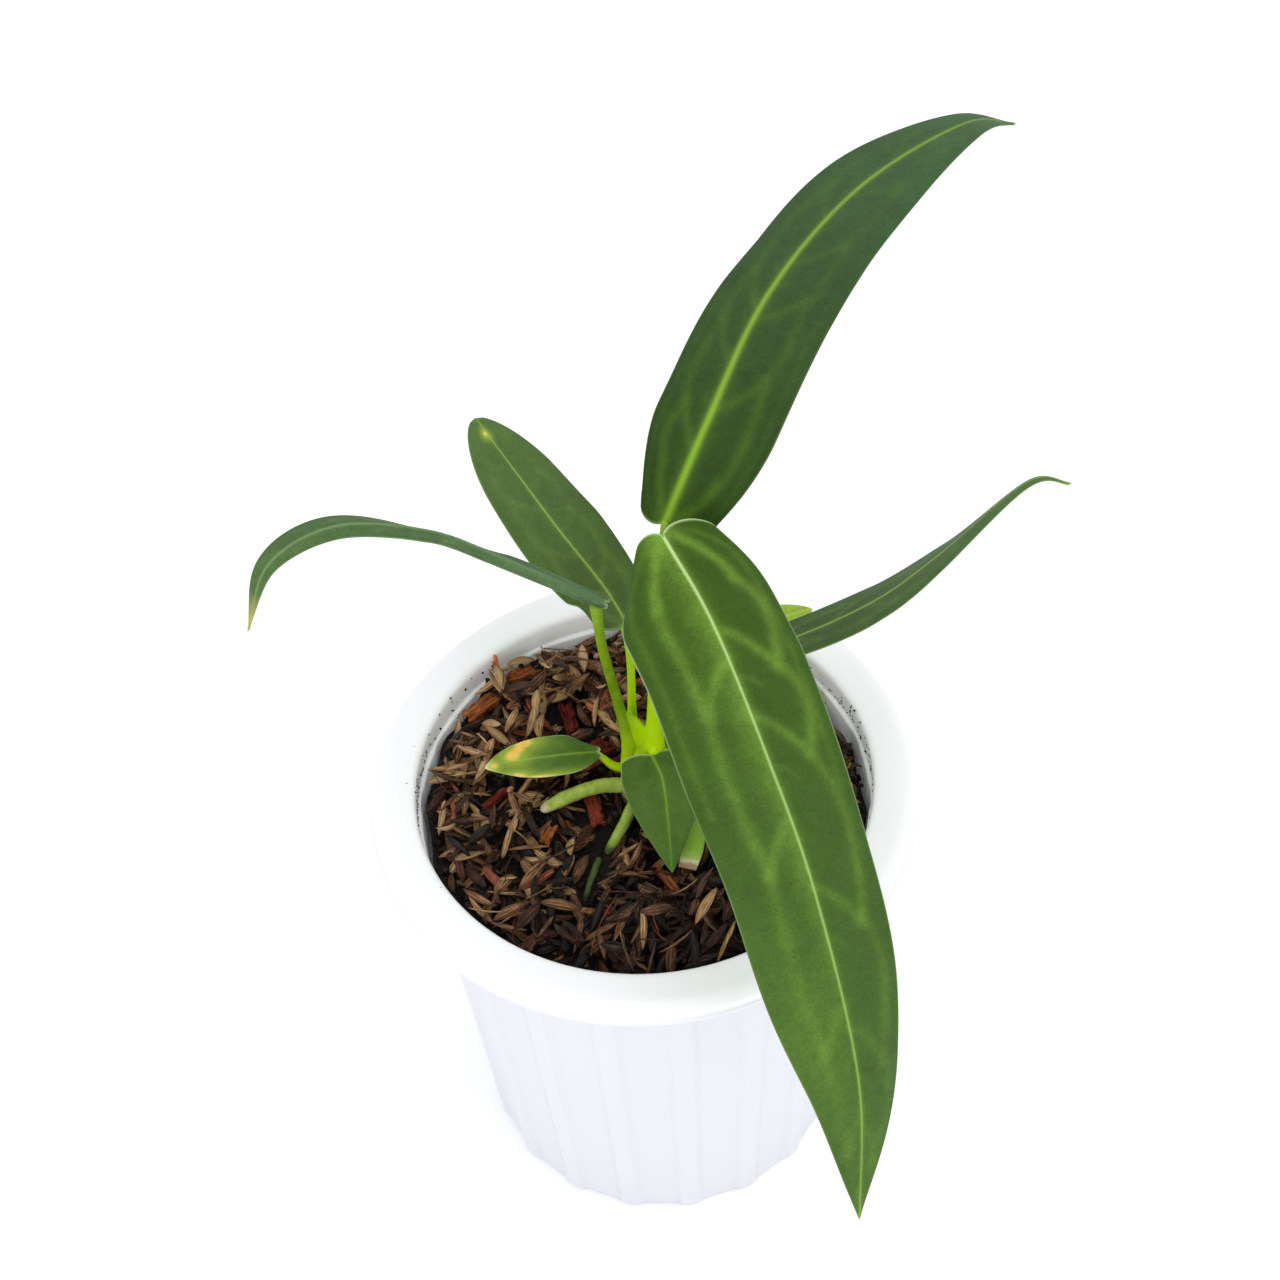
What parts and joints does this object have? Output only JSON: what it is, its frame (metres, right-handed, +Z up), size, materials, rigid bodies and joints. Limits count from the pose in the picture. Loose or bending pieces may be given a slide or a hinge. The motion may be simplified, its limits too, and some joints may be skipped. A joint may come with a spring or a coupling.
{
  "type": "potted queen anthurium",
  "caption": "Young aroid with long strap-shaped, pale-veined leaves on green petioles, growing in husk mix in a white fluted pot with a rolled rim.",
  "frame": {"origin": "centre of the pot's flat underside", "axes": "+Z up, -Y towards the front, where the large leaf droops over the rim; +X to the viewer's right"},
  "size_m": [0.1903, 0.2222, 0.2352],
  "materials": {
    "pot_plastic": "moulded, satin gloss",
    "potting_mix": "damp, crumbly",
    "rice_husk": "fibrous husk, damp",
    "orange_bark": "split bark, fibrous",
    "red_bark": "split bark, fibrous",
    "stem_skin": "ringed plant skin, satin",
    "leaf_sheath": "smooth plant skin, satin",
    "petiole_skin": "smooth plant skin, satin",
    "root_skin": "smooth root skin, matt",
    "thin_root_skin": "damp root skin, matt",
    "dark_leaf": "velvety leaf, satin",
    "green_leaf": "velvety leaf, satin",
    "spotted_leaf": "velvety leaf with yellow patches",
    "yellowing_leaf": "thin leaf, satin"
  },
  "bodies": {
    "root": {"pot": "pot_plastic", "potting_mix": "potting_mix", "husk_mulch": "rice_husk", "bark_chip_1": "orange_bark", "bark_chip_2": "red_bark", "bark_chip_3": "red_bark", "bark_chip_4": "red_bark", "bark_chip_5": "red_bark", "bark_chip_6": "red_bark", "bark_chip_7": "orange_bark", "bark_chip_8": "orange_bark", "stem": "stem_skin", "crown": "leaf_sheath", "root_left": "root_skin", "root_front": "root_skin", "root_thin": "thin_root_skin", "petiole_back_right": "petiole_skin", "blade_back_right": "dark_leaf", "petiole_front": "petiole_skin", "blade_front": "green_leaf", "petiole_left": "petiole_skin", "blade_left": "dark_leaf", "petiole_back_left": "petiole_skin", "blade_back_left": "dark_leaf", "petiole_right": "petiole_skin", "blade_right": "dark_leaf", "petiole_small_left": "petiole_skin", "blade_small_left": "spotted_leaf", "petiole_small_front": "petiole_skin", "blade_small_front": "green_leaf", "petiole_small_right": "petiole_skin", "blade_small_right": "yellowing_leaf", "leaf_stub": "yellowing_leaf"}
  },
  "joints": []
}
